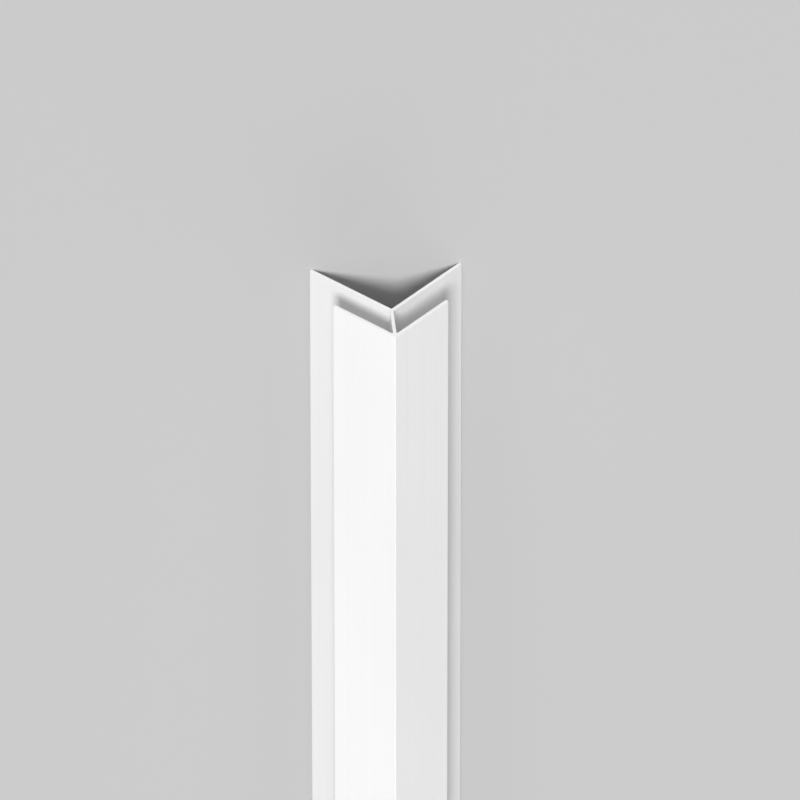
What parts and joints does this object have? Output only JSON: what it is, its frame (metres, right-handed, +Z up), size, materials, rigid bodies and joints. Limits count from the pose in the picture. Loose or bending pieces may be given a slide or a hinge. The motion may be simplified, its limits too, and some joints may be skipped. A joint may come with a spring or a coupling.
{
  "type": "pvc wall panel outside corner trim",
  "caption": "Straight extruded plastic corner trim: a flange angle for a wall corner, a cover angle and a diagonal web, leaving a slot on each side for a panel's edge.",
  "frame": {"origin": "on the floor, below the trim's corner, halfway along its length", "axes": "+X along the stock, +Z up through the cover's outer corner; the two flange tips rest on the floor"},
  "size_m": [2.4, 0.0578, 0.0465],
  "materials": {
    "white_pvc": "satin white rigid PVC, as extruded"
  },
  "bodies": {
    "root": {"corner_trim": "white_pvc"}
  },
  "joints": []
}
